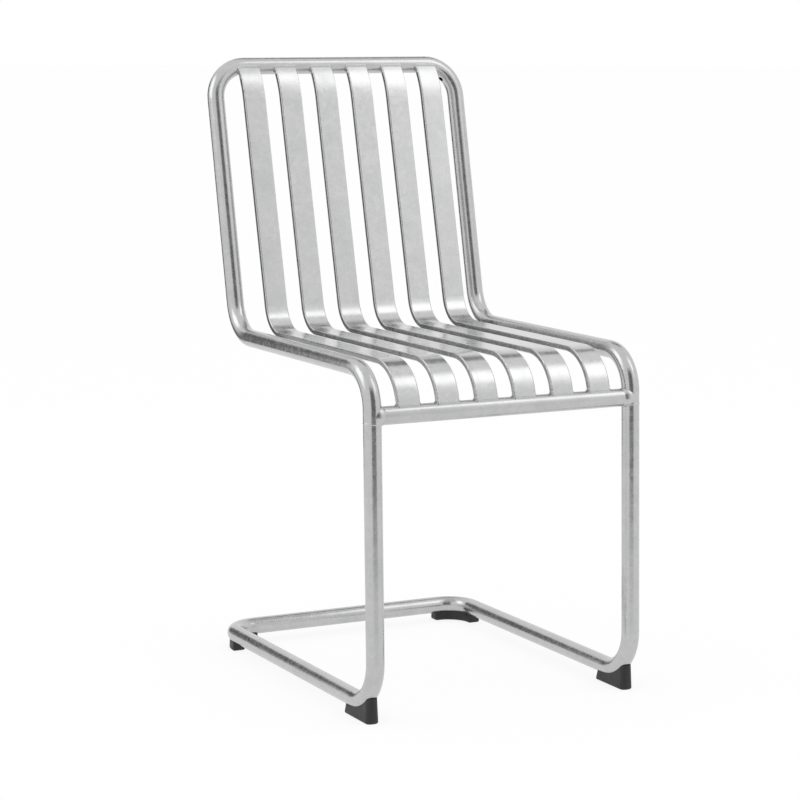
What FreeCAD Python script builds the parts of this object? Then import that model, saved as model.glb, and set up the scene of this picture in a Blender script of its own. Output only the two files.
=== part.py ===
import FreeCAD, Part
import math
import os
from collections import namedtuple

# Cantilever metal chair: two bent round tubes butt-welded into one closed loop,
# a crossbar under the seat's front edge, six bent flat slats and four
# plastic feet. Millimetres. +Z is up, the chair faces -Y, X is its width.
# The origin is on the floor, at the middle of the chair's width and depth.
# Heights are above the floor. Depths are measured rearwards from the corner
# where the leg's centre line meets the runner's centre line.

V = FreeCAD.Vector

# Frame tube
TUBE_DIAMETER = 23.6
TUBE_WALL = 2.0
CHAIR_WIDTH = 401.6          # over the outsides of the tubes
TUBE_LIFT = 10.2             # floor to the underside of the runners
RUNNER_LENGTH = 479.2        # leg line to the rear bar's centre line
SEAT_RAIL_FRONT = 452.6      # height of the seat rail's centre line at the front corner
SEAT_RAIL_REAR = 451.0       # and at the rear corner
LEG_BACKSET = 12.0           # how far the leg leans back over its height
SEAT_RUN = 417.7             # front corner to rear corner of the seat rail
BACK_RAKE = 81.9             # how far the upright leans back over its height
TOP_RAIL_HEIGHT = 818.7      # centre line of the top rail

# Bend radii of the frame tube, on its centre line
FLOOR_BEND = 58.0
SEAT_FRONT_BEND = 51.0
SEAT_REAR_BEND = 56.0
TOP_CORNER_BEND = 46.0
REAR_CORNER_BEND = 40.0

# Crossbar
CROSSBAR_DIAMETER = 23.6
CROSSBAR_WALL = 2.0
CROSSBAR_DROP = 57.5         # its centre line below that of the seat rails at the front
CROSSBAR_SETBACK = 0.5       # its front stands this far behind the fronts of the legs

# Butt joint in each leg
JOINT_RISE = 3.1             # underside of the crossbar up to the joint
JOINT_GAP = 1.0              # between the two tube ends, filled by the weld
JOINT_WELD_WIDTH = 2.6
JOINT_WELD_CROWN = 0.35      # how far the weld stands out of the tube

# Vent holes on the insides of the top corners
VENT_DIAMETER = 8.0

# Slats
SLAT_COUNT = 6
SLAT_WIDTH = 32.0
SLAT_THICKNESS = 7.5
SLAT_CORNER = 1.5            # radius of its four long edges
SLAT_WALL = 1.5
SLAT_SIDE_GAP = 21.95        # outermost slat's edge to the inner side of the seat rail
SLAT_GAP_LOW = 11.0          # slat to the uprights' front plane, at the seat
SLAT_GAP_HIGH = 2.2          # the same, at the top rail
SLAT_SEAT_RISE = 0.4         # underside of the slats above the seat rails' centre lines
SLAT_LAND = 6.3              # slat's front face ahead of the crossbar's axis
SLAT_CURL_START = 50.0       # below the top rail's axis
SLAT_CURL_TURN = 24.0        # degrees
SLAT_CURL_BEND = 110.0
SLAT_REAR_BEND = 45.0
SLAT_FRONT_BEND = 60.0

# Weld beads
SLAT_BEAD = 1.4
CROSSBAR_BEAD = 1.3

# Feet
FOOT_WIDTH = 18.4            # at the floor
FOOT_DRAFT = 3.0             # degrees that each side leans in
FOOT_SADDLE_CLEARANCE = 0.1  # foot to tube
FOOT_LIP = 0.4               # thickness of the saddle's edges
FOOT_ROUNDING = 2.4          # radius of the edges at the floor
FRONT_FOOT_LENGTH = 69.5
FRONT_FOOT_START = 6.0       # depth of its front face
FRONT_FOOT_NOSE = 7.2        # radius of its front corners
FRONT_FOOT_TAIL_LEAN = 16.0  # degrees that its rear end leans forward
FRONT_SCREW_INSET = 16.0     # screw to the foot's rear end
REAR_FOOT_TAIL = 5.0         # how far the foot runs on past each end of the bend
FOOT_CORNER = 3.0            # radius of the corners at the feet's plain ends

# Foot screws
SCREW_DIAMETER = 4.0
SCREW_HEAD_DIAMETER = 8.0
SCREW_HEAD_HEIGHT = 2.4
SCREW_TIP_PAST_WALL = 2.0    # how far the point reaches past the tube's inner face
SCREW_RECESS = 4.2           # depth of the pocket in the sole
SCREW_CLEARANCE = 0.1        # round the shank, in the foot and the tube
HEAD_CLEARANCE = 0.6         # round the head, in the pocket
SCREW_SLOT_WIDTH = 1.0
SCREW_SLOT_DEPTH = 1.1

# Worked out from the sizes above
TUBE_RADIUS = TUBE_DIAMETER / 2
BAR_RADIUS = CROSSBAR_DIAMETER / 2
HALF_WIDTH = CHAIR_WIDTH / 2 - TUBE_RADIUS
RUNNER_HEIGHT = TUBE_LIFT + TUBE_RADIUS
TOP_RAIL_DEPTH = LEG_BACKSET + SEAT_RUN + BACK_RAKE
LEG_HEIGHT = SEAT_RAIL_FRONT - RUNNER_HEIGHT
CROSSBAR_HEIGHT = SEAT_RAIL_FRONT - CROSSBAR_DROP
JOINT_HEIGHT = CROSSBAR_HEIGHT - BAR_RADIUS + JOINT_RISE
SLATS_WIDTH = 2 * (HALF_WIDTH - TUBE_RADIUS - SLAT_SIDE_GAP)
SLAT_PITCH = (SLATS_WIDTH - SLAT_WIDTH) / (SLAT_COUNT - 1)

# The floor bend turns a little more than a right angle, because the leg leans
FLOOR_TURN = math.pi / 2 + math.atan2(LEG_BACKSET, LEG_HEIGHT)
FLOOR_BEND_END = FLOOR_BEND * math.tan(FLOOR_TURN / 2)

# The foremost point is on the floor bend, the rearmost on the top rail
FOREMOST = FLOOR_BEND_END - FLOOR_BEND - TUBE_RADIUS
REARMOST = TOP_RAIL_DEPTH + TUBE_RADIUS
MIDDLE = (FOREMOST + REARMOST) / 2


def at(x, depth, height):
    """The point x to the right, depth behind the leg's floor corner, height above the floor."""
    return V(x, depth - MIDDLE, height)


def leg_depth(height):
    """Depth of the leg's centre line at a height."""
    return LEG_BACKSET * (height - RUNNER_HEIGHT) / LEG_HEIGHT


def unit(vector):
    return V(vector).normalize()


# Routes. A route is a list of straights and bends that a section follows.
# A bend's turn is in radians, and way is the direction it starts in.

Straight = namedtuple("Straight", "start end")
Bend = namedtuple("Bend", "start centre axis turn way")


def route(points, radii):
    """Straights through the points, with a tangent bend of each radius at each inner point."""
    steps = []
    start = points[0]
    for before, corner, after, radius in zip(points, points[1:], points[2:], radii):
        way_in = unit(corner - before)
        way_out = unit(after - corner)
        turn = way_in.getAngle(way_out)
        tangent = radius * math.tan(turn / 2)
        axis = unit(way_in.cross(way_out))
        bend_start = corner - way_in * tangent
        centre = bend_start + axis.cross(way_in) * radius
        steps.append(Straight(start, bend_start))
        steps.append(Bend(bend_start, centre, axis, turn, way_in))
        start = corner + way_out * tangent
    steps.append(Straight(start, points[-1]))
    return steps


def follow(steps, section):
    """One solid: the face made by section(point, way), carried along every step."""
    lengths = []
    for step in steps:
        if isinstance(step, Straight):
            run = step.end - step.start
            lengths.append(section(step.start, unit(run)).extrude(run))
        else:
            face = section(step.start, step.way)
            lengths.append(face.revolve(step.centre, step.axis, math.degrees(step.turn)))
    if len(lengths) == 1:
        return lengths[0]
    return lengths[0].multiFuse(lengths[1:]).removeSplitter()


def disc(radius):
    """Section of a round rod."""
    def section(point, way):
        return Part.Face(Part.Wire(Part.makeCircle(radius, point, way)))
    return section


def ring(radius, wall):
    """Section of a round tube."""
    def section(point, way):
        bore = disc(radius - wall)(point, way)
        return disc(radius)(point, way).cut(bore).Faces[0]
    return section


def rounded(corners, radius):
    """Face with these corners, each rounded."""
    arcs = []
    for before, corner, after in zip(corners[-1:] + corners[:-1], corners, corners[1:] + corners[:1]):
        back = unit(before - corner) * radius
        on = unit(after - corner) * radius
        arcs.append((corner + back, corner + (back + on) * (1 - math.sqrt(0.5)), corner + on))
    edges = []
    for arc, next_arc in zip(arcs, arcs[1:] + arcs[:1]):
        edges.append(Part.Arc(*arc).toShape())
        edges.append(Part.makeLine(arc[-1], next_arc[0]))
    return Part.Face(Part.Wire(edges))


def flat_bar(width, thickness, corner, wall=0.0):
    """Section of a flat bar whose width lies along X, or of a tube if it has a wall."""
    def corners(point, way, inset):
        side = V(width / 2 - inset, 0, 0)
        face = unit(way.cross(V(1, 0, 0))) * (thickness / 2 - inset)
        return [point - side - face, point + side - face, point + side + face, point - side + face]

    def section(point, way):
        outer = rounded(corners(point, way, 0), corner)
        if not wall:
            return outer
        inner = corners(point, way, wall)
        return outer.cut(Part.Face(Part.makePolygon(inner + inner[:1]))).Faces[0]
    return section


# Frame tubes

def leg_point(side, height):
    """A point on a leg's centre line. side is -1 for the left leg and 1 for the right."""
    return at(side * HALF_WIDTH, leg_depth(height), height)


def loop(run):
    """Points of run(side) from its left start to its end, and back along the right side."""
    return run(-1) + run(1)[::-1]


def upper_run(side):
    x = side * HALF_WIDTH
    return [
        leg_point(side, JOINT_HEIGHT + JOINT_GAP / 2),
        at(x, LEG_BACKSET, SEAT_RAIL_FRONT),
        at(x, LEG_BACKSET + SEAT_RUN, SEAT_RAIL_REAR),
        at(x, TOP_RAIL_DEPTH, TOP_RAIL_HEIGHT),
    ]


def base_run(side):
    x = side * HALF_WIDTH
    return [
        leg_point(side, JOINT_HEIGHT - JOINT_GAP / 2),
        at(x, 0, RUNNER_HEIGHT),
        at(x, RUNNER_LENGTH, RUNNER_HEIGHT),
    ]


side_bends = [SEAT_FRONT_BEND, SEAT_REAR_BEND, TOP_CORNER_BEND]
upper_route = route(loop(upper_run), side_bends + side_bends[::-1])
floor_bends = [FLOOR_BEND, REAR_CORNER_BEND]
base_route = route(loop(base_run), floor_bends + floor_bends[::-1])

upper_frame_tube = follow(upper_route, ring(TUBE_RADIUS, TUBE_WALL))
base_frame_tube = follow(base_route, ring(TUBE_RADIUS, TUBE_WALL))


# A vent hole through the inner wall of each top corner, halfway round the bend

def vent_drill(bend):
    outward = unit(bend.start - bend.centre)
    middle = FreeCAD.Rotation(bend.axis, math.degrees(bend.turn / 2)).multVec(outward)
    on_axis = bend.centre + middle * TOP_CORNER_BEND
    return Part.makeCylinder(VENT_DIAMETER / 2, TUBE_DIAMETER, on_axis, middle * -1)


upper_bend_steps = [step for step in upper_route if isinstance(step, Bend)]
for corner in upper_bend_steps[2:4]:
    upper_frame_tube = upper_frame_tube.cut(vent_drill(corner))


# Butt welds in the legs: each fills the gap between the tube ends and stands a little proud

def leg_joint_weld(side):
    middle = leg_point(side, JOINT_HEIGHT)
    low_end = leg_point(side, JOINT_HEIGHT - JOINT_GAP / 2)
    high_end = leg_point(side, JOINT_HEIGHT + JOINT_GAP / 2)
    up = unit(high_end - low_end)
    filler = ring(TUBE_RADIUS, TUBE_WALL)(low_end, up).extrude(high_end - low_end)
    surface = middle + V(side, 0, 0) * TUBE_RADIUS
    low = surface - up * (JOINT_WELD_WIDTH / 2)
    high = surface + up * (JOINT_WELD_WIDTH / 2)
    crest = surface + V(side, 0, 0) * JOINT_WELD_CROWN
    profile = Part.Wire([Part.Arc(low, crest, high).toShape(), Part.makeLine(high, low)])
    crown = Part.Face(profile).revolve(middle, up, 360)
    return filler.fuse(crown).removeSplitter()


leg_joint_weld_left = leg_joint_weld(-1)
leg_joint_weld_right = leg_joint_weld(1)


# Crossbar: a straight tube whose ends are coped to the legs

bar_depth = leg_depth(CROSSBAR_HEIGHT) - TUBE_RADIUS + CROSSBAR_SETBACK + BAR_RADIUS
bar_left = at(-HALF_WIDTH, bar_depth, CROSSBAR_HEIGHT)
bar_right = at(HALF_WIDTH, bar_depth, CROSSBAR_HEIGHT)
bar_route = [Straight(bar_left, bar_right)]
bar_rod = follow(bar_route, disc(BAR_RADIUS))


def leg_rod(side):
    """The leg as a full rod, past the crossbar's top and bottom."""
    low = leg_point(side, CROSSBAR_HEIGHT - CROSSBAR_DIAMETER)
    high = leg_point(side, CROSSBAR_HEIGHT + CROSSBAR_DIAMETER)
    return follow([Straight(low, high)], disc(TUBE_RADIUS))


front_crossbar = follow(bar_route, ring(BAR_RADIUS, CROSSBAR_WALL))
front_crossbar = front_crossbar.cut(leg_rod(-1)).cut(leg_rod(1))
front_crossbar = front_crossbar.cut(leg_joint_weld_left).cut(leg_joint_weld_right)


# The bead round each end of the crossbar: a crowned collar on the bar that
# dies into the front of the leg, less the leg and the bar themselves

def crossbar_weld(side):
    end = bar_left if side < 0 else bar_right
    inward = V(-side, 0, 0)
    up = V(0, 0, 1)
    toe_axis = end + inward * (TUBE_RADIUS + 2 * CROSSBAR_BEAD)
    tail_axis = end - inward * CROSSBAR_BEAD
    toe = toe_axis + up * (BAR_RADIUS - CROSSBAR_BEAD / 10)
    crest = end + inward * TUBE_RADIUS + up * (BAR_RADIUS + 0.8 * CROSSBAR_BEAD)
    tail = tail_axis + up * BAR_RADIUS
    profile = Part.Wire([
        Part.Arc(toe, crest, tail).toShape(),
        Part.makeLine(tail, tail_axis),
        Part.makeLine(tail_axis, toe_axis),
        Part.makeLine(toe_axis, toe),
    ])
    collar = Part.Face(profile).revolve(end, inward, 360)
    return collar.cut(leg_rod(side)).cut(bar_rod)


crossbar_weld_left = crossbar_weld(-1).cut(leg_joint_weld_left)
crossbar_weld_right = crossbar_weld(1).cut(leg_joint_weld_right)


# Slats. The centre line of the slat at the chair's middle, from inside the
# crossbar, over the front bend, along the seat, up the back, to inside the top rail

def crossing(point_a, way_a, point_b, way_b):
    """Where two lines in one X plane cross."""
    along = (point_b - point_a).cross(way_b).x / way_a.cross(way_b).x
    return point_a + way_a * along


def slat_points():
    sideways = V(1, 0, 0)
    half = SLAT_THICKNESS / 2
    front_rail = at(0, LEG_BACKSET, SEAT_RAIL_FRONT)
    rear_rail = at(0, LEG_BACKSET + SEAT_RUN, SEAT_RAIL_REAR)
    top_rail = at(0, TOP_RAIL_DEPTH, TOP_RAIL_HEIGHT)

    # Along the seat, between the rails
    seat_way = unit(rear_rail - front_rail)
    seat_start = front_rail + sideways.cross(seat_way) * (SLAT_SEAT_RISE + half)

    # Up the back, just ahead of the uprights
    back_way = unit(top_rail - rear_rail)
    ahead = sideways.cross(back_way)
    low = rear_rail + ahead * (TUBE_RADIUS + SLAT_GAP_LOW + half)
    high = top_rail + ahead * (TUBE_RADIUS + SLAT_GAP_HIGH + half)
    slat_way = unit(high - low)
    rear_corner = crossing(seat_start, seat_way, low, slat_way)

    # Down onto the crossbar, parallel to the legs
    land = at(0, bar_depth - SLAT_LAND + half, CROSSBAR_HEIGHT)
    leg_way = unit(leg_point(0, SEAT_RAIL_FRONT) - leg_point(0, RUNNER_HEIGHT))
    front_corner = crossing(land, leg_way, seat_start, seat_way)

    # The top curls rearwards into the top rail
    curl_turn = math.radians(SLAT_CURL_TURN)
    curl_tangent = SLAT_CURL_BEND * math.tan(curl_turn / 2)
    curl_corner = high - slat_way * (SLAT_CURL_START - curl_tangent)
    curl_way = FreeCAD.Rotation(sideways, -SLAT_CURL_TURN).multVec(slat_way)
    end = curl_corner + curl_way * (curl_tangent + TUBE_RADIUS / 2)
    return [land, front_corner, rear_corner, curl_corner, end]


slat_route = route(slat_points(), [SLAT_FRONT_BEND, SLAT_REAR_BEND, SLAT_CURL_BEND])
slat_tube = follow(slat_route, flat_bar(SLAT_WIDTH, SLAT_THICKNESS, SLAT_CORNER, SLAT_WALL))
slat_filled = follow(slat_route, flat_bar(SLAT_WIDTH, SLAT_THICKNESS, SLAT_CORNER))
slat_and_bead = follow(slat_route, flat_bar(SLAT_WIDTH + 2 * SLAT_BEAD, SLAT_THICKNESS + 2 * SLAT_BEAD,
                                            SLAT_CORNER + SLAT_BEAD))

top_route = [step for step in upper_route if step.start.z > SEAT_RAIL_FRONT + SEAT_REAR_BEND]
top_rod = follow(top_route, disc(TUBE_RADIUS))
top_rod_and_bead = follow(top_route, disc(TUBE_RADIUS + SLAT_BEAD))
bar_rod_and_bead = follow(bar_route, disc(BAR_RADIUS + SLAT_BEAD))


def moved(shape, x):
    copy = shape.copy()
    copy.translate(V(x, 0, 0))
    return copy


# Each slat's ends are coped to the top rail and the crossbar. A bead is where
# a slightly fatter slat and a slightly fatter tube overlap, less both of them.
slats = []
slat_top_welds = []
slat_front_welds = []
for index in range(SLAT_COUNT):
    x = (index - (SLAT_COUNT - 1) / 2) * SLAT_PITCH
    filled = moved(slat_filled, x)
    beaded = moved(slat_and_bead, x)
    slats.append(moved(slat_tube, x).cut(top_rod).cut(bar_rod))
    slat_top_welds.append(beaded.common(top_rod_and_bead).cut(top_rod).cut(filled))
    slat_front_welds.append(beaded.common(bar_rod_and_bead).cut(bar_rod).cut(filled))


# Feet. Each is a tapered block with a saddle on top that the tube lies in.
# Its sides end where they are still FOOT_LIP thick.

FOOT_LEAN = math.tan(math.radians(FOOT_DRAFT))
SADDLE_RADIUS = TUBE_RADIUS + FOOT_SADDLE_CLEARANCE
SADDLE_HALF = FOOT_WIDTH / 2 - TUBE_LIFT * FOOT_LEAN - FOOT_LIP
LIP_DROP = math.sqrt(SADDLE_RADIUS ** 2 - SADDLE_HALF ** 2)
UP = V(0, 0, 1)


def trapezoid(top):
    """Section of a foot, from the floor up to top."""
    def section(point, way):
        low = way.cross(UP) * (FOOT_WIDTH / 2)
        high = way.cross(UP) * (FOOT_WIDTH / 2 - top * FOOT_LEAN)
        peak = point + UP * top
        return Part.Face(Part.makePolygon([point - low, point + low, peak + high,
                                           peak - high, point - low]))
    return section


def end_edges(shape, point, normal):
    """The upright edges in the plane through the point, square to the normal."""
    def in_plane(vertex):
        return abs((vertex.Point - point).dot(normal)) < 0.01

    def upright(edge):
        return abs(edge.Vertexes[0].Z - edge.Vertexes[-1].Z) > TUBE_LIFT / 2

    return [edge for edge in shape.Edges
            if upright(edge) and all(in_plane(vertex) for vertex in edge.Vertexes)]


def foot_block(points, radii, top, start_corner, end_lean):
    """A foot's block along a route on the floor. Its far end leans in and its edges are rounded."""
    block = follow(route(points, radii), trapezoid(top)).Solids[0]
    start_way = unit(points[1] - points[0])
    end_way = unit(points[-1] - points[-2])
    lean_axis = end_way.cross(UP)
    end_normal = FreeCAD.Rotation(lean_axis, end_lean).multVec(end_way)
    beyond = Part.makePlane(4 * top, 4 * top, points[-1], end_normal)
    beyond.translate(points[-1] - beyond.CenterOfMass)
    block = block.cut(beyond.extrude(end_normal * top)).Solids[0]
    block = block.makeFillet(start_corner, end_edges(block, points[0], start_way))
    block = block.makeFillet(FOOT_CORNER, end_edges(block, points[-1], end_normal))
    floor_edges = [edge for edge in block.Edges if edge.BoundBox.ZMax < 0.01]
    return block.makeFillet(FOOT_ROUNDING, floor_edges)


def front_foot(side):
    x = side * HALF_WIDTH
    end = FRONT_FOOT_START + FRONT_FOOT_LENGTH
    block = foot_block([at(x, FRONT_FOOT_START, 0), at(x, end, 0)], [],
                       RUNNER_HEIGHT + TUBE_RADIUS, FRONT_FOOT_NOSE, FRONT_FOOT_TAIL_LEAN)
    # The sides end LIP_DROP from the tube's centre line, round the bend and along the runner
    bend_height = RUNNER_HEIGHT + FLOOR_BEND
    side_edge = at(x - FOOT_WIDTH, FLOOR_BEND_END, bend_height)
    over_bend = Part.makeCylinder(FLOOR_BEND + LIP_DROP, 2 * FOOT_WIDTH, side_edge, V(1, 0, 0))
    over_runner = Part.makeBox(2 * FOOT_WIDTH, FRONT_FOOT_LENGTH, bend_height,
                               at(x - FOOT_WIDTH, FLOOR_BEND_END, RUNNER_HEIGHT - LIP_DROP))
    # The saddle
    leg = leg_point(side, bend_height + TUBE_DIAMETER)
    corner = at(x, 0, RUNNER_HEIGHT)
    runner = at(x, end + TUBE_DIAMETER, RUNNER_HEIGHT)
    saddle = follow(route([leg, corner, runner], [FLOOR_BEND]), disc(SADDLE_RADIUS))
    return block.cut(over_bend).cut(over_runner).cut(saddle)


def rear_foot(side):
    reach = REAR_CORNER_BEND + REAR_FOOT_TAIL

    def corner_points(reach, height):
        return [at(side * HALF_WIDTH, RUNNER_LENGTH - reach, height),
                at(side * HALF_WIDTH, RUNNER_LENGTH, height),
                at(side * (HALF_WIDTH - reach), RUNNER_LENGTH, height)]

    block = foot_block(corner_points(reach, 0), [REAR_CORNER_BEND], RUNNER_HEIGHT - LIP_DROP,
                       FOOT_CORNER, 0)
    tube_points = corner_points(reach + TUBE_DIAMETER, RUNNER_HEIGHT)
    saddle = follow(route(tube_points, [REAR_CORNER_BEND]), disc(SADDLE_RADIUS))
    return block.cut(saddle)


# Foot screws. Each goes up through a pocket in the sole into the tube's lower wall.

def screw_place(side, end):
    """Where a foot's screw stands on the floor. end is "front" or "rear"."""
    if end == "front":
        depth = FRONT_FOOT_START + FRONT_FOOT_LENGTH - FRONT_SCREW_INSET
        return at(side * HALF_WIDTH, depth, 0)
    # Halfway round the rear corner
    short = REAR_CORNER_BEND * (1 - math.sqrt(0.5))
    return at(side * (HALF_WIDTH - short), RUNNER_LENGTH - short, 0)


def screw_hole(place):
    radius = SCREW_DIAMETER / 2 + SCREW_CLEARANCE
    return Part.makeCylinder(radius, TUBE_LIFT + TUBE_RADIUS, place)


def screw_pocket(place):
    return Part.makeCylinder(SCREW_HEAD_DIAMETER / 2 + HEAD_CLEARANCE, SCREW_RECESS, place)


def screw(place):
    """A domed-head screw with a cross recess, head down."""
    radius = SCREW_DIAMETER / 2
    head = SCREW_HEAD_DIAMETER / 2
    head_base = SCREW_RECESS - SCREW_HEAD_HEIGHT
    tip = TUBE_LIFT + TUBE_WALL + SCREW_TIP_PAST_WALL
    dome_rim = place + V(head, 0, head_base + SCREW_HEAD_HEIGHT / 2)
    dome_middle = place + V(head * 0.6, 0, head_base + SCREW_HEAD_HEIGHT * 0.1)
    dome_top = place + V(0, 0, head_base)
    turned = [
        Part.Arc(dome_top, dome_middle, dome_rim).toShape(),
        Part.makePolygon([
            dome_rim,
            place + V(head, 0, SCREW_RECESS),
            place + V(radius, 0, SCREW_RECESS),
            place + V(radius, 0, tip - radius),
            place + V(0, 0, tip),
            dome_top,
        ]),
    ]
    edges = [turned[0]] + turned[1].Edges
    body = Part.Face(Part.Wire(edges)).revolve(place, UP, 360)
    for length, width in ((head, SCREW_SLOT_WIDTH), (SCREW_SLOT_WIDTH, head)):
        corner = place + V(-length / 2, -width / 2, head_base - SCREW_SLOT_DEPTH)
        body = body.cut(Part.makeBox(length, width, 2 * SCREW_SLOT_DEPTH, corner))
    return body


feet = {}
foot_screws = []
for end, foot in (("front", front_foot), ("rear", rear_foot)):
    for side, hand in ((-1, "left"), (1, "right")):
        place = screw_place(side, end)
        feet[end + "_foot_" + hand] = foot(side).cut(screw_pocket(place)).cut(screw_hole(place))
        base_frame_tube = base_frame_tube.cut(screw_hole(place))
        foot_screws.append(screw(place))


def export(name, *shapes):
    """Write one STEP file that holds the solids of the shapes."""
    solids = [solid for shape in shapes for solid in shape.Solids]
    result = solids[0] if len(solids) == 1 else Part.makeCompound(solids)
    result.exportStep("parts/" + name + ".step")


os.makedirs("parts", exist_ok=True)
export("upper_frame_tube", upper_frame_tube)
export("base_frame_tube", base_frame_tube)
export("front_crossbar", front_crossbar)
for index, slat in enumerate(slats):
    export("slat_" + str(index + 1), slat)
export("leg_joint_weld_left", leg_joint_weld_left)
export("leg_joint_weld_right", leg_joint_weld_right)
export("crossbar_weld_left", crossbar_weld_left)
export("crossbar_weld_right", crossbar_weld_right)
export("slat_top_welds", *slat_top_welds)
export("slat_front_welds", *slat_front_welds)
for name, foot in feet.items():
    export(name, foot)
export("foot_screws", *foot_screws)
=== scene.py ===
import math

import bpy
from mathutils import Matrix, Vector


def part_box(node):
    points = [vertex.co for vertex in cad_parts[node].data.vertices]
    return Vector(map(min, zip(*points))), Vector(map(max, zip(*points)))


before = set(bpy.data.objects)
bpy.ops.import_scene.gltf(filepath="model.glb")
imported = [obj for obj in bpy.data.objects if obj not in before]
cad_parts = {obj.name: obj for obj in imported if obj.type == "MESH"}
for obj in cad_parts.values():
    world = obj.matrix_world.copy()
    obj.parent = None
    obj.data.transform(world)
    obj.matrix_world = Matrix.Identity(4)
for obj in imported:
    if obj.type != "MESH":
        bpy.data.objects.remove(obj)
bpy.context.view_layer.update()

# The dressed chair: galvanised tubes and slats, weld beads, black plastic feet and
# their screws. Metres, in the frame's own axes: +Z up, the chair faces -Y.

CHAIR_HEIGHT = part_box("upper_frame_tube")[1].z

# Pieces that share a material

TUBES = ["upper_frame_tube", "base_frame_tube", "front_crossbar"]
SLATS = ["slat_" + str(number) for number in range(1, 7)]
WELDS = ["leg_joint_weld_left", "leg_joint_weld_right", "crossbar_weld_left", "crossbar_weld_right",
         "slat_top_welds", "slat_front_welds"]
FEET = ["front_foot_left", "front_foot_right", "rear_foot_left", "rear_foot_right"]


# Camera, at the photograph's place and angle

CAMERA_PLACE = Vector((-1.5931, -3.0881, 0.8950))
CAMERA_YAW = math.radians(26.919)      # to the right of +Y
CAMERA_PITCH = math.radians(8.59)      # down
CAMERA_ROLL = math.radians(0.081)
CAMERA_LENS = 115.78                   # mm
SENSOR_WIDTH = 36.0                    # mm
FARTHEST_SEEN = 200.0


def make_camera():
    data = bpy.data.cameras.new("camera")
    data.lens = CAMERA_LENS
    data.sensor_width = SENSOR_WIDTH
    data.clip_end = FARTHEST_SEEN
    camera = bpy.data.objects.new("camera", data)
    bpy.context.scene.collection.objects.link(camera)
    turn = Matrix.Rotation(-CAMERA_YAW, 4, "Z") @ Matrix.Rotation(math.pi / 2 - CAMERA_PITCH, 4, "X")
    turn = turn @ Matrix.Rotation(CAMERA_ROLL, 4, "Z")
    camera.matrix_world = Matrix.Translation(CAMERA_PLACE) @ turn
    bpy.context.scene.camera = camera


# Node helpers

class Nodes:
    """Adds nodes to one node tree."""

    def __init__(self, tree):
        self.tree = tree

    def add(self, kind, inputs=(), **settings):
        """A new node. inputs maps a socket's name or number to a value or to another node's output."""
        node = self.tree.nodes.new("ShaderNode" + kind)
        for key, value in settings.items():
            setattr(node, key, value)
        for key, value in dict(inputs).items():
            self.feed(node, key, value)
        return node

    def feed(self, node, key, value):
        if isinstance(value, bpy.types.NodeSocket):
            self.tree.links.new(value, node.inputs[key])
        else:
            node.inputs[key].default_value = value

    def calculate(self, operation, first, second):
        return self.add("Math", {0: first, 1: second}, operation=operation).outputs[0]

    def seen_or_mirrored(self):
        """1 for a ray from the camera, off a glossy surface or through glass, else 0."""
        path = self.add("LightPath")
        first = self.calculate("MAXIMUM", path.outputs["Is Camera Ray"], path.outputs["Is Glossy Ray"])
        return self.calculate("MAXIMUM", first, path.outputs["Is Transmission Ray"])


class Material(Nodes):
    """The nodes of one new material."""

    def __init__(self, name):
        self.material = bpy.data.materials.new(name)
        self.material.use_nodes = True
        super().__init__(self.material.node_tree)
        self.shader = self.tree.nodes["Principled BSDF"]
        self.output = self.tree.nodes["Material Output"]

    def place(self):
        """Position on the object in metres, in the frame's axes."""
        return self.add("TexCoord").outputs["Object"]

    def stretched(self, place, scale):
        return self.add("Mapping", {"Vector": place, "Scale": scale}).outputs["Vector"]

    def noise(self, place, scale, detail=4.0, roughness=0.55):
        """A cloudy grey. scale is its number of swells per metre."""
        node = self.add("TexNoise", {"Vector": place, "Scale": scale, "Detail": detail,
                                     "Roughness": roughness})
        return node.outputs["Fac"]

    def cells(self, place, scale):
        """One random grey for each cell of a crystal-like pattern."""
        node = self.add("TexVoronoi", {"Vector": place, "Scale": scale, "Randomness": 1.0})
        return self.add("SeparateColor", {0: node.outputs["Color"]}).outputs[0]

    def fit(self, value, low, high, from_low=0.0, from_high=1.0):
        """value, with from_low to from_high stretched to low to high and cut off there."""
        node = self.add("MapRange", {"Value": value, "From Min": from_low, "From Max": from_high,
                                     "To Min": low, "To Max": high})
        return node.outputs["Result"]

    def blend(self, factor, first, second):
        return self.add("Mix", {"Factor": factor, 6: first, 7: second}, data_type="RGBA").outputs[2]

    def bump(self, height, distance, strength, below=None):
        inputs = {"Height": height, "Distance": distance, "Strength": strength}
        if below is not None:
            inputs["Normal"] = below
        return self.add("Bump", inputs).outputs["Normal"]


def grey(value, warmth=0.0):
    return (value * (1 + warmth), value, value * (1 - warmth), 1.0)


# Galvanised steel: faint crystals a few millimetres wide, a fine grain, cloudy
# patches of duller zinc and faint streaks. Scales are per metre, depths in metres.

CRYSTAL_SCALE = 150.0
SMALL_CRYSTAL_SCALE = 390.0
SMALL_CRYSTAL_SHARE = 0.35
CRYSTAL_WARP_SCALE = 60.0
CRYSTAL_WARP_ACROSS = 0.012
CRYSTAL_WARP_ALONG = 0.009
GRAIN_SCALE = 900.0
CLOUD_SCALE = 22.0
STREAK_SCALE = (260.0, 12.0, 12.0)
WAVE_SCALE = 45.0
WAVE_DEPTH = 0.0009
DIMPLE_SCALE = 320.0
DIMPLE_TO_GRAIN = 2.5          # depth of a dimple, as a share of the grain's
ZINC_RELIEF = 0.6

# Brightness as a share of the steel's tone
DARK_CRYSTAL = 0.93
LIGHT_CRYSTAL = 1.05
DULL_CLOUD = 0.84
DARK_GRAIN = 0.8


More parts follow.
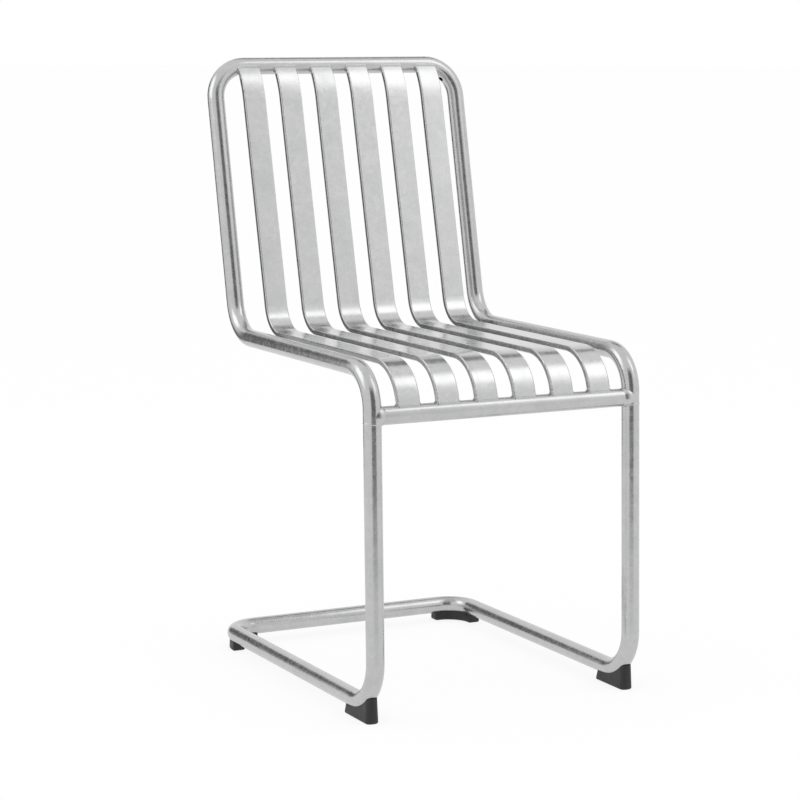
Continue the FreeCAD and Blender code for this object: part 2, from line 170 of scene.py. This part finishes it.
def galvanised(name, tone, roughness, grain_depth, waviness, seed):
    """seed moves the pattern, so that no two materials share theirs."""
    nodes = Material(name)
    place = nodes.add("Mapping", {"Vector": nodes.place(), "Location": (seed, seed, seed)})
    place = place.outputs["Vector"]
    warp = nodes.noise(place, CRYSTAL_WARP_SCALE, 3.0)
    shift = nodes.add("CombineXYZ", {0: nodes.calculate("MULTIPLY", warp, CRYSTAL_WARP_ACROSS),
                                     1: nodes.calculate("MULTIPLY", warp, CRYSTAL_WARP_ALONG)})
    warped = nodes.add("VectorMath", {0: place, 1: shift.outputs[0]}, operation="ADD").outputs[0]
    crystals = nodes.cells(warped, CRYSTAL_SCALE)
    small_crystals = nodes.cells(warped, SMALL_CRYSTAL_SCALE)
    grain = nodes.noise(place, GRAIN_SCALE, 3.0)
    clouds = nodes.noise(place, CLOUD_SCALE, 5.0, 0.6)
    streaks = nodes.noise(nodes.stretched(place, STREAK_SCALE), 1.0, 4.0)

    # Colour: each crystal a little lighter or darker, clouds and grain darker
    spangle = nodes.blend(SMALL_CRYSTAL_SHARE, crystals, small_crystals)
    base = nodes.blend(nodes.fit(spangle, 0.0, 1.0), grey(tone * DARK_CRYSTAL, -0.004),
                       grey(tone * LIGHT_CRYSTAL))
    base = nodes.blend(nodes.fit(clouds, 0.0, 0.5, 0.45, 0.75), base, grey(tone * DULL_CLOUD, -0.01))
    base = nodes.blend(nodes.fit(grain, 0.0, 0.25, 0.5, 0.8), base, grey(tone * DARK_GRAIN))
    nodes.feed(nodes.shader, "Base Color", base)
    nodes.feed(nodes.shader, "Metallic", 1.0)

    # Gloss: crystals, clouds and streaks differ a little from the mean roughness
    gloss = nodes.calculate("ADD", nodes.fit(spangle, -0.05, 0.05), nodes.fit(clouds, -0.05, 0.07))
    gloss = nodes.calculate("ADD", gloss, nodes.fit(streaks, -0.03, 0.03))
    nodes.feed(nodes.shader, "Roughness", nodes.calculate("ADD", gloss, roughness))

    # Relief: the zinc is slightly wavy, with small dimples and a fine grain
    relief = nodes.bump(nodes.noise(place, WAVE_SCALE, 2.0), WAVE_DEPTH, waviness)
    dimples = nodes.noise(place, DIMPLE_SCALE, 3.0)
    relief = nodes.bump(dimples, grain_depth * DIMPLE_TO_GRAIN, ZINC_RELIEF, relief)
    relief = nodes.bump(grain, grain_depth, ZINC_RELIEF, relief)
    nodes.feed(nodes.shader, "Normal", relief)
    return nodes.material


# Black plastic with a fine moulded grain and slightly greyer scuffs

PLASTIC_GRAIN_SCALE = 1600.0
PLASTIC_GRAIN_DEPTH = 0.00008
SCUFF_SCALE = (60.0, 60.0, 300.0)
SCUFF_DEPTH = 0.0001
PLASTIC_CLOUD_SCALE = 90.0


def moulded_plastic(name):
    nodes = Material(name)
    place = nodes.place()
    grain = nodes.noise(place, PLASTIC_GRAIN_SCALE, 2.0)
    scuffs = nodes.noise(nodes.stretched(place, SCUFF_SCALE), 1.0, 5.0, 0.7)
    clouds = nodes.noise(place, PLASTIC_CLOUD_SCALE, 3.0)
    base = nodes.blend(nodes.fit(clouds, 0.0, 1.0, 0.3, 0.7), grey(0.008), grey(0.012))
    base = nodes.blend(nodes.fit(scuffs, 0.0, 0.5, 0.6, 0.8), base, grey(0.028, 0.02))
    nodes.feed(nodes.shader, "Base Color", base)
    nodes.feed(nodes.shader, "Roughness", nodes.fit(clouds, 0.42, 0.56, 0.3, 0.7))
    relief = nodes.bump(grain, PLASTIC_GRAIN_DEPTH, 0.6)
    nodes.feed(nodes.shader, "Normal", nodes.bump(scuffs, SCUFF_DEPTH, 0.3, relief))
    return nodes.material


# Zinc-plated screws, bluish and yellowish in patches, with fine turning rings

PLATING_PATCH_SCALE = 500.0
BLUISH_ZINC = (0.56, 0.57, 0.6, 1.0)
YELLOWISH_ZINC = (0.62, 0.6, 0.52, 1.0)
RING_SCALE = (300.0, 300.0, 9000.0)
RING_DEPTH = 0.00005


def plated(name):
    nodes = Material(name)
    place = nodes.place()
    patches = nodes.noise(place, PLATING_PATCH_SCALE, 3.0)
    base = nodes.blend(nodes.fit(patches, 0.0, 1.0, 0.35, 0.65), BLUISH_ZINC, YELLOWISH_ZINC)
    nodes.feed(nodes.shader, "Base Color", base)
    nodes.feed(nodes.shader, "Metallic", 1.0)
    nodes.feed(nodes.shader, "Roughness", nodes.fit(patches, 0.25, 0.42, 0.3, 0.7))
    rings = nodes.noise(nodes.stretched(place, RING_SCALE), 1.0, 2.0)
    nodes.feed(nodes.shader, "Normal", nodes.bump(rings, RING_DEPTH, 0.5))
    return nodes.material


def dress(pieces, material):
    """Give CAD nodes their material."""
    for piece in pieces:
        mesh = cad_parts[piece].data
        mesh.materials.clear()
        mesh.materials.append(material)


# Stage. The floor and the studio round it are white where they are seen or mirrored.
# The rest of the floor's surface is plain, so it keeps the chair's shadow.

FLOOR_RADIUS = 40.0
FLOOR_TONE = 0.98
FLOOR_GLOW_SHARE = 0.85
STUDIO_LIGHT = 0.95
WHITE = grey(1.0)


def make_floor():
    nodes = Material("floor_white")
    nodes.feed(nodes.shader, "Base Color", grey(FLOOR_TONE))
    nodes.feed(nodes.shader, "Roughness", 0.9)
    glow = nodes.add("Emission", {"Color": WHITE, "Strength": 1.0})
    share = nodes.calculate("MULTIPLY", nodes.seen_or_mirrored(), FLOOR_GLOW_SHARE)
    mixed = nodes.add("MixShader", {0: share, 1: nodes.shader.outputs[0], 2: glow.outputs[0]})
    nodes.feed(nodes.output, "Surface", mixed.outputs[0])
    bpy.ops.mesh.primitive_circle_add(vertices=96, radius=FLOOR_RADIUS, fill_type="NGON",
                                      location=(0, 0, 0))
    floor = bpy.context.object
    floor.name = "floor"
    floor.data.materials.append(nodes.material)


def make_world():
    world = bpy.data.worlds.new("studio")
    bpy.context.scene.world = world
    world.use_nodes = True
    nodes = Nodes(world.node_tree)
    lit = nodes.tree.nodes["Background"]
    nodes.feed(lit, "Color", WHITE)
    nodes.feed(lit, "Strength", STUDIO_LIGHT)
    seen = nodes.add("Background", {"Color": WHITE, "Strength": 1.0})
    mixed = nodes.add("MixShader", {0: nodes.seen_or_mirrored(), 1: lit.outputs[0], 2: seen.outputs[0]})
    nodes.feed(nodes.tree.nodes["World Output"], "Surface", mixed.outputs[0])


# Directions in the studio: turn is in degrees to the right of the way the camera
# looks, rise is in degrees above the horizon

def toward(turn, rise):
    heading = CAMERA_YAW + math.radians(turn)
    level = math.cos(math.radians(rise))
    return Vector((math.sin(heading) * level, math.cos(heading) * level, math.sin(math.radians(rise))))


AIM = Vector((0, 0, CHAIR_HEIGHT / 2))


def softbox(name, turn, rise, distance, width, height, power):
    """A soft lamp, aimed at the middle of the chair."""
    data = bpy.data.lights.new(name, "AREA")
    data.shape = "RECTANGLE"
    data.size = width
    data.size_y = height
    data.energy = power
    lamp = bpy.data.objects.new(name, data)
    bpy.context.scene.collection.objects.link(lamp)
    lamp.location = AIM + toward(turn, rise) * distance
    lamp.rotation_euler = toward(turn, rise).to_track_quat("Z", "Y").to_euler()
    lamp.visible_camera = False


def flag(name, corners, tone):
    """A dark studio flag that only reflections show."""
    nodes = Material(name)
    glow = nodes.add("Emission", {"Color": grey(tone), "Strength": 1.0})
    nodes.feed(nodes.output, "Surface", glow.outputs[0])
    mesh = bpy.data.meshes.new(name)
    mesh.from_pydata([tuple(corner) for corner in corners], [], [tuple(range(len(corners)))])
    mesh.materials.append(nodes.material)
    card = bpy.data.objects.new(name, mesh)
    bpy.context.scene.collection.objects.link(card)
    card.visible_camera = False
    card.visible_diffuse = False
    card.visible_shadow = False
    card.visible_transmission = False


def upright_flag(name, turns, bottom, near, top, far, tone):
    """A flag between two turns. Its foot is at height bottom and distance near, its head at top and far."""
    left, right = turns
    corners = [(left, near, bottom), (right, near, bottom), (right, far, top), (left, far, top)]
    flag(name, [toward(turn, 0) * distance + Vector((0, 0, height)) for turn, distance, height in corners],
         tone)


def overhead_flag(name, turns, rises, distance, tone):
    """A flag above the horizon, between two turns and two rises."""
    left, right = turns
    low, high = rises
    corners = [(left, low), (right, low), (right, high), (left, high)]
    flag(name, [AIM + toward(turn, rise) * distance for turn, rise in corners], tone)


def make_studio():
    """The key lights the bends from the right, and the flags draw the dark bands on the tubes."""
    softbox("key", turn=103, rise=47, distance=3.7, width=1.36, height=1.9, power=7.5)
    softbox("key_low", turn=110, rise=28, distance=3.7, width=1.1, height=0.9, power=0.9)
    softbox("fill", turn=-100, rise=35, distance=2.6, width=1.6, height=1.6, power=8)
    upright_flag("flag_camera", turns=(140, 188), bottom=0.01, near=2.0, top=2.6, far=2.6, tone=0.2)
    upright_flag("flag_left", turns=(-62, -34), bottom=0.05, near=1.6, top=2.0, far=3.4, tone=0.14)
    overhead_flag("flag_overhead", turns=(-15, 30), rises=(40, 58), distance=3.0, tone=0.3)


# Assembly

make_camera()
make_world()
make_floor()
make_studio()

dress(TUBES, galvanised("frame_zinc", tone=0.53, roughness=0.23, grain_depth=0.000015, waviness=0.25,
                        seed=0.0))
dress(SLATS, galvanised("slat_zinc", tone=0.58, roughness=0.21, grain_depth=0.000005, waviness=0.08,
                        seed=3.1))
dress(WELDS, galvanised("weld_zinc", tone=0.55, roughness=0.30, grain_depth=0.00008, waviness=0.6,
                        seed=7.7))
dress(FEET, moulded_plastic("foot_plastic"))
dress(["foot_screws"], plated("screw_zinc"))

bpy.context.scene.view_settings.view_transform = "Standard"
